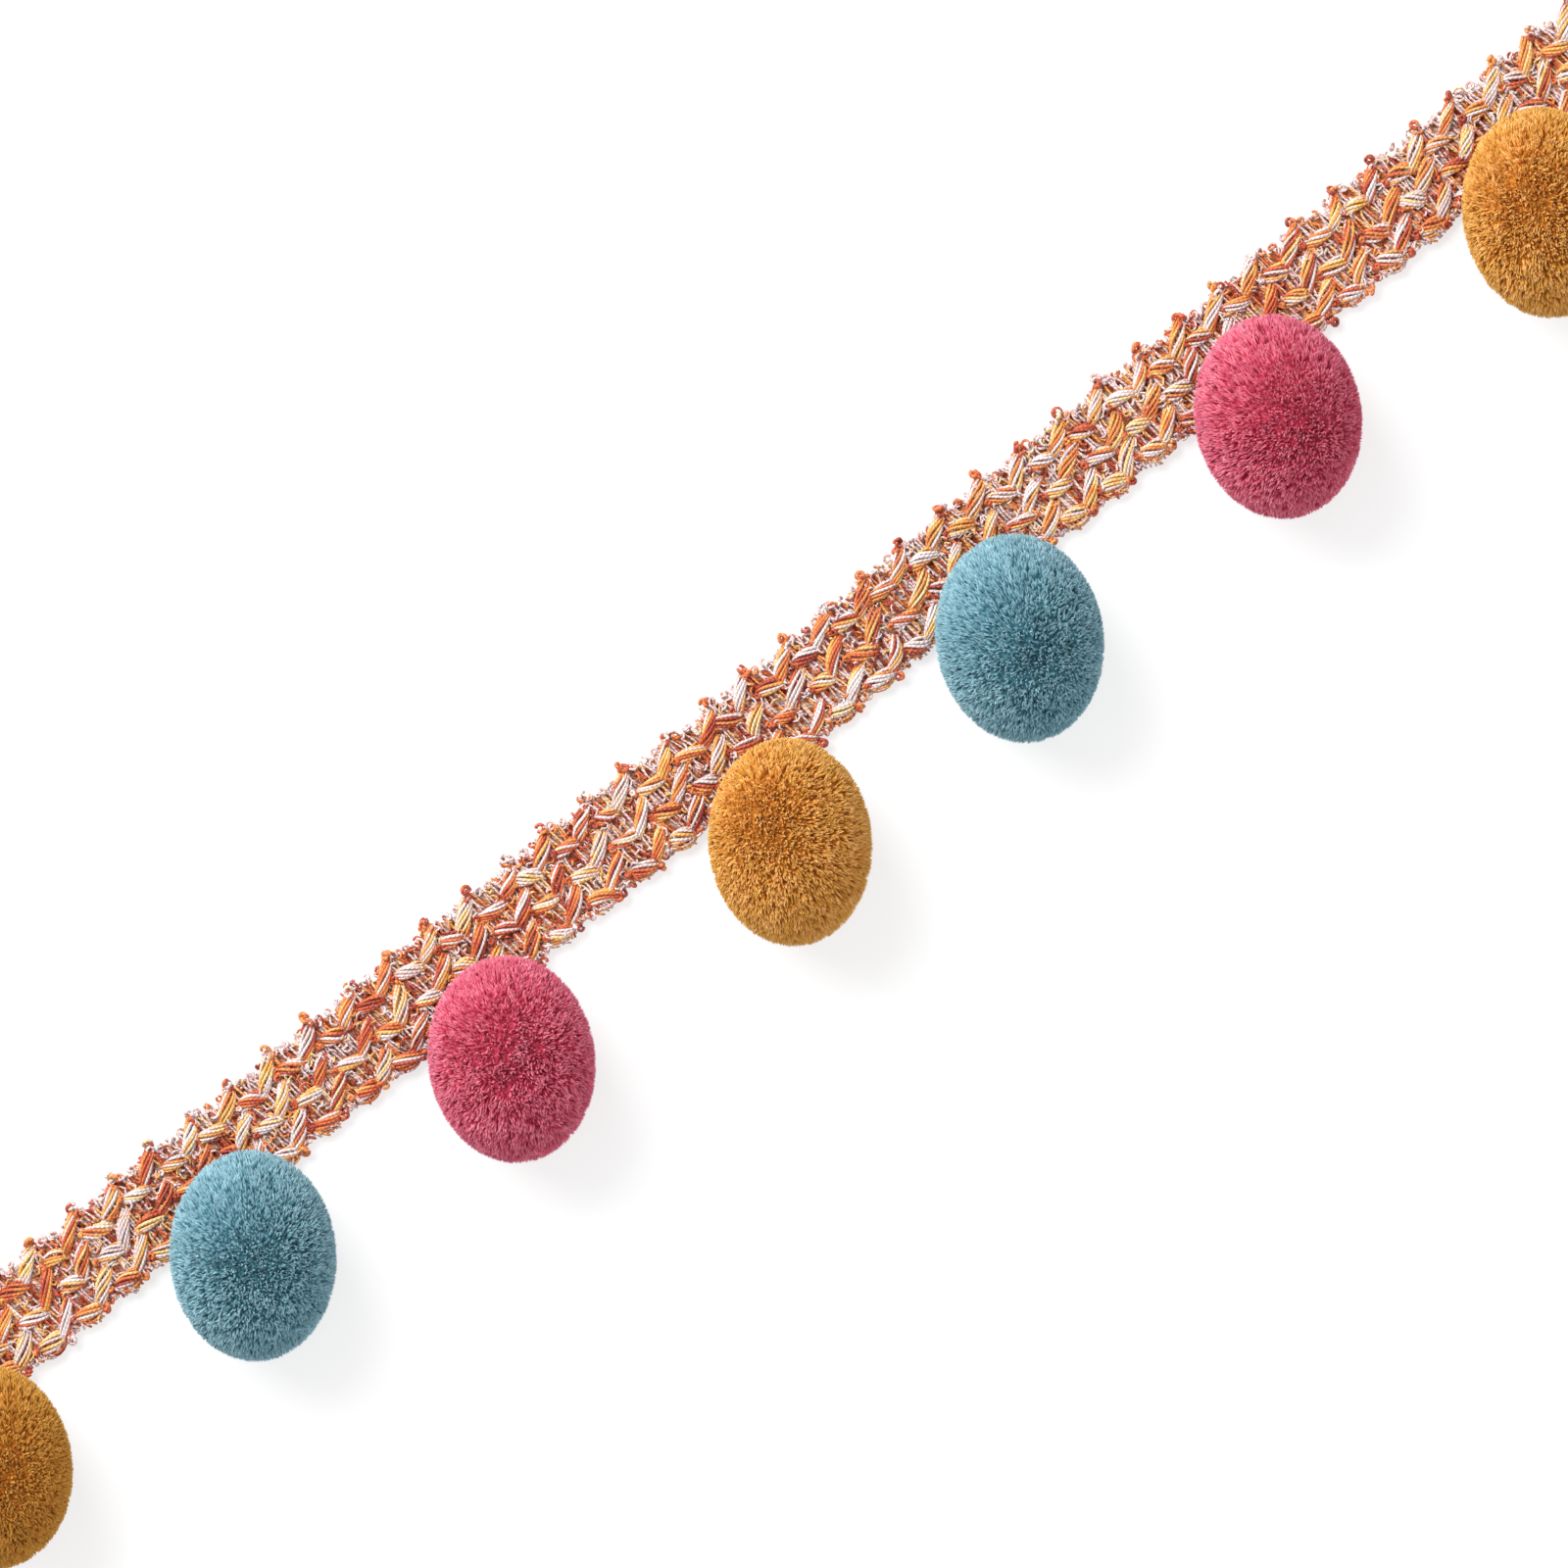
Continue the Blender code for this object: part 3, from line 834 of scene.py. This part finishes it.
pile = {
    "depth": 22.4 * mm,             # face to back
    "centreHeight": 9.8 * mm,       # it settles a little on its underside
    "selvage": 6.85 * mm,
    "edgeLoops": 1.25 * mm,
    "gap": 0.05 * mm,               # kept clear of the tape and the floor
    "leastHeight": 0.03 * mm,
    "yarns": 3150,                  # cut yarn ends on one pompom, 0.75 mm apart
    "placing": 0.012,
    "pulls": 30,                    # how many ways the yarns are drawn into bunches
    "ripples": (9, 26),             # bunches round the ball, times 2 pi
    "bunching": 0.030,
    "sweep": 0.7,                   # how much stronger the bunching is on one side
    "sweepSpeed": 2.2,
    "sweepStart": 6.3,
    "lean": 0.028,
    "unevenness": 0.012,
    "tones": (0.15, 0.85),
    "fibres": 7,                    # what each end has opened into
    "spread": 0.034,                # of an end's fibres, in radians seen from the centre
    "rootSplay": 0.35,
    "bellySplay": 0.75,
    "rootShare": 0.68,              # of the way out, where a fibre starts and where it is widest
    "bellyShare": 0.962,
    "fibreLengths": (0.975, 1.0),
    "reach": 1.012,
    "flyaway": 0.06,                # share of the fibres that stand out of the pile, thin and long
    "flyawayReach": 1.035,
    "flyawayThinness": 0.45,
    "fibreRadius": 0.19 * mm,
    "fibreRadii": (0.75, 1.25),
    "bladeAngle": 1.9,
    "askew": 0.15 * mm,
    "toneSpread": 0.08,
    "ballShading": 0.50,
    "coreShare": 0.92,              # of the way out
    "coreUnevenness": 0.02,
    # the core's depth mark gives it the painted shade of the deep yarn ends
    "coreDepth": 0.30,
    "coreTints": (0.2, 0.6),
}
# a fibre is a blade with four corners: root, two at its belly, tip
bladeFaces = np.array([[0, 2, 1], [0, 1, 3], [0, 3, 2], [1, 2, 3]])
bladeDepths = [0.0, 0.85, 0.85, 1.0]
bladeStrands = [0.5, 0.0, 1.0, 0.5]


def evenDirections(count):
    # a spiral that covers the ball evenly
    k = np.arange(count) + 0.5
    z = 1 - 2 * k / count
    turn = k * math.pi * (3 - math.sqrt(5))
    flat = np.sqrt(1 - z * z)
    return np.stack([flat * np.cos(turn), flat * np.sin(turn), z], -1)


def reachOf(arms, centre, tapeEdge):
    # how much of each arm from the centre to the surface is free of the floor and the tape
    reach = np.ones(len(arms))
    down = arms[:, 2] < 0
    drop = np.where(down, -arms[:, 2], 1.0)
    reach = np.where(down, np.minimum(reach, (centre[2] - pile["gap"]) / drop), reach)
    toTape = down & (arms[:, 1] > 0)
    forward = np.where(toTape, arms[:, 1], 1.0)
    edgeReach = (tapeEdge - centre[1]) / forward
    heightThere = centre[2] + arms[:, 2] * edgeReach
    over = toTape & (heightThere > tape["top"])
    beside = toTape & ~over
    reach = np.where(over, np.minimum(reach, (centre[2] - tape["top"] - pile["gap"]) / drop), reach)
    return np.where(beside, np.minimum(reach, edgeReach), reach)


def lying(spec):
    # how a pompom lies: half sizes, turn, centre, where its tie is, and the tape's edge beside it
    half = np.array([spec["wide"] / 2 * mm, spec["long"] / 2 * mm, pile["depth"] / 2])
    lean = math.radians(-spec["lean"])
    turn = np.array([[math.cos(lean), -math.sin(lean), 0], [math.sin(lean), math.cos(lean), 0], [0, 0, 1]])
    along = spec["along"] * mm
    selvage = sag(along) - pile["selvage"]
    centre = np.array([along, selvage - spec["outset"] * mm, pile["centreHeight"]])
    tie = centre + turn @ np.array([spec["tieAside"], spec["tieAlong"], 0]) * mm
    return half, turn, centre, tie, selvage - pile["edgeLoops"]


def yarnEnds(chance):
    # where each cut yarn of a pompom points, how it leans, how long it is and how light its dye
    ways = evenDirections(pile["yarns"])
    ways = unit(ways + chance.normal(0, pile["placing"], ways.shape))
    # neighbouring yarns bunch together here and part there
    pulls = pile["pulls"]
    pull = unit(chance.normal(0, 1, (pulls, 3)))
    ripple = unit(chance.normal(0, 1, (pulls, 3))) * chance.uniform(*pile["ripples"], (pulls, 1))
    swell = np.sin(ways @ ripple.T + chance.uniform(0, 2 * math.pi, pulls))
    bunching = swell @ pull * pile["bunching"] * math.sqrt(2 / pulls)
    sweep = ways @ unit(chance.normal(0, 1, 3)) * pile["sweepSpeed"] + chance.uniform(0, pile["sweepStart"])
    bunching *= 1 + pile["sweep"] * np.sin(sweep)[:, None]
    lean = bunching + chance.normal(0, pile["lean"], ways.shape)
    length = 1 - np.abs(chance.normal(0, pile["unevenness"], len(ways)))
    return ways, lean, length, chance.uniform(*pile["tones"], len(ways))


def fibres(spec, chance):
    # every yarn end's fibres, as points, faces, a normal for each face corner, and marks
    half, turn, centre, tie, tapeEdge = lying(spec)
    ways, lean, length, tone = yarnEnds(chance)
    own = np.repeat(np.arange(len(ways)), pile["fibres"])
    count = len(own)
    splay = chance.normal(0, pile["spread"], (count, 3))
    tipWay = unit(ways[own] + lean[own] + splay)
    rootWay = unit(ways[own] + pile["rootSplay"] * splay)
    bellyWay = unit(rootWay + pile["bellySplay"] * (tipWay - rootWay))
    length = length[own] * chance.uniform(*pile["fibreLengths"], count) * pile["reach"]
    stray = chance.random(count) < pile["flyaway"]
    length = np.where(stray, length * pile["flyawayReach"], length)
    free = np.minimum(length, reachOf((tipWay * half) @ turn.T, centre, tapeEdge))
    root, belly, tip = [
        tie + (centre + ((way * half) @ turn.T) * free[:, None] - tie) * share
        for way, share in ((rootWay, pile["rootShare"]), (bellyWay, pile["bellyShare"]), (tipWay, 1.0))]

    # a fibre widens towards its end and closes in a short point
    along = unit(tip - root)
    side = unit(np.cross(along, chance.normal(0, 1, along.shape)))
    up = np.cross(along, side)
    otherSide = math.cos(pile["bladeAngle"]) * side + math.sin(pile["bladeAngle"]) * up
    radius = pile["fibreRadius"] * chance.uniform(*pile["fibreRadii"], (count, 1))
    radius *= np.where(stray, pile["flyawayThinness"], 1.0)[:, None]
    slip = chance.uniform(0, pile["askew"], (2, count, 1))
    points = np.stack([
        root, belly + radius * side - along * slip[0], belly + radius * otherSide - along * slip[1], tip], 1)

    # a face shades as itself and a little as part of the whole ball, never turned from its own side
    corners = points[:, bladeFaces]
    facing = unit(np.cross(corners[:, :, 1] - corners[:, :, 0], corners[:, :, 2] - corners[:, :, 0]))
    outward = unit((tipWay / half) @ turn.T)
    normals = np.repeat(facing + pile["ballShading"] * outward[:, None], 3, axis=1)
    points[..., 2] = np.maximum(points[..., 2], pile["leastHeight"])
    faces = bladeFaces + np.arange(count)[:, None, None] * points.shape[1]
    tint = np.clip(tone[own] + spec["tone"] + chance.normal(0, pile["toneSpread"], count), 0, 1)
    marks = {
        "depth": np.tile(bladeDepths, count),
        "tint": np.repeat(tint, points.shape[1]),
        "strand": np.tile(bladeStrands, count),
    }
    return points.reshape(-1, 3), faces.reshape(-1, 3).tolist(), normals.reshape(-1, 3), marks


def packedCore(spec, chance):
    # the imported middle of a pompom, seen only deep between the ends, given as fibres are
    half, turn, centre, tie, tapeEdge = lying(spec)
    ball = bmesh.new()
    bmesh.ops.create_icosphere(ball, subdivisions=3, radius=1.0)
    ways = np.array([v.co for v in ball.verts])
    faces = [[v.index for v in f.verts] for f in ball.faces]
    ball.free()
    arms = (unit(ways) * half) @ turn.T
    uneven = 1 + chance.uniform(-pile["coreUnevenness"], pile["coreUnevenness"], len(ways))
    shell = centre + arms * (reachOf(arms, centre, tapeEdge) * uneven)[:, None]
    normals = unit((ways / half) @ turn.T)[np.array(faces).ravel()]
    marks = {
        # painted shade: the core is coloured as the deep yarn ends
        "depth": np.full(len(ways), pile["coreDepth"]),
        "strand": chance.uniform(0, 1, len(ways)),
        "tint": chance.uniform(*pile["coreTints"], len(ways)),
    }
    return tie + (shell - tie) * pile["coreShare"], faces, normals, marks


def makePompom(spec, material, seed):
    chance = np.random.default_rng(seed)
    points, faces, normals, marks = fibres(spec, chance)
    corePoints, coreFaces, coreNormals, coreMarks = packedCore(spec, chance)
    faces += [[corner + len(points) for corner in face] for face in coreFaces]
    marks = {mark: np.concatenate([values, coreMarks[mark]]) for mark, values in marks.items()}
    pompom = meshPiece(spec["node"] + "_pile", np.concatenate([points, corePoints]), faces, material, marks)
    normals = unit(np.concatenate([normals, coreNormals]))
    pompom.data.normals_split_custom_set(normals.tolist())
    return pompom


pileMaterials = {yarn: pompomPile(yarn) for yarn in pileDyes}
for number, row in enumerate(pompomRows):
    spec = dict(zip(pompomColumns, row))
    pompom = makePompom(spec, pileMaterials[spec["yarn"]], seeds["pompoms"] + number)
    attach(pompom, "root")
    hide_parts(spec["node"])
    print("pompom", pompom.name, len(pompom.data.polygons), "faces")
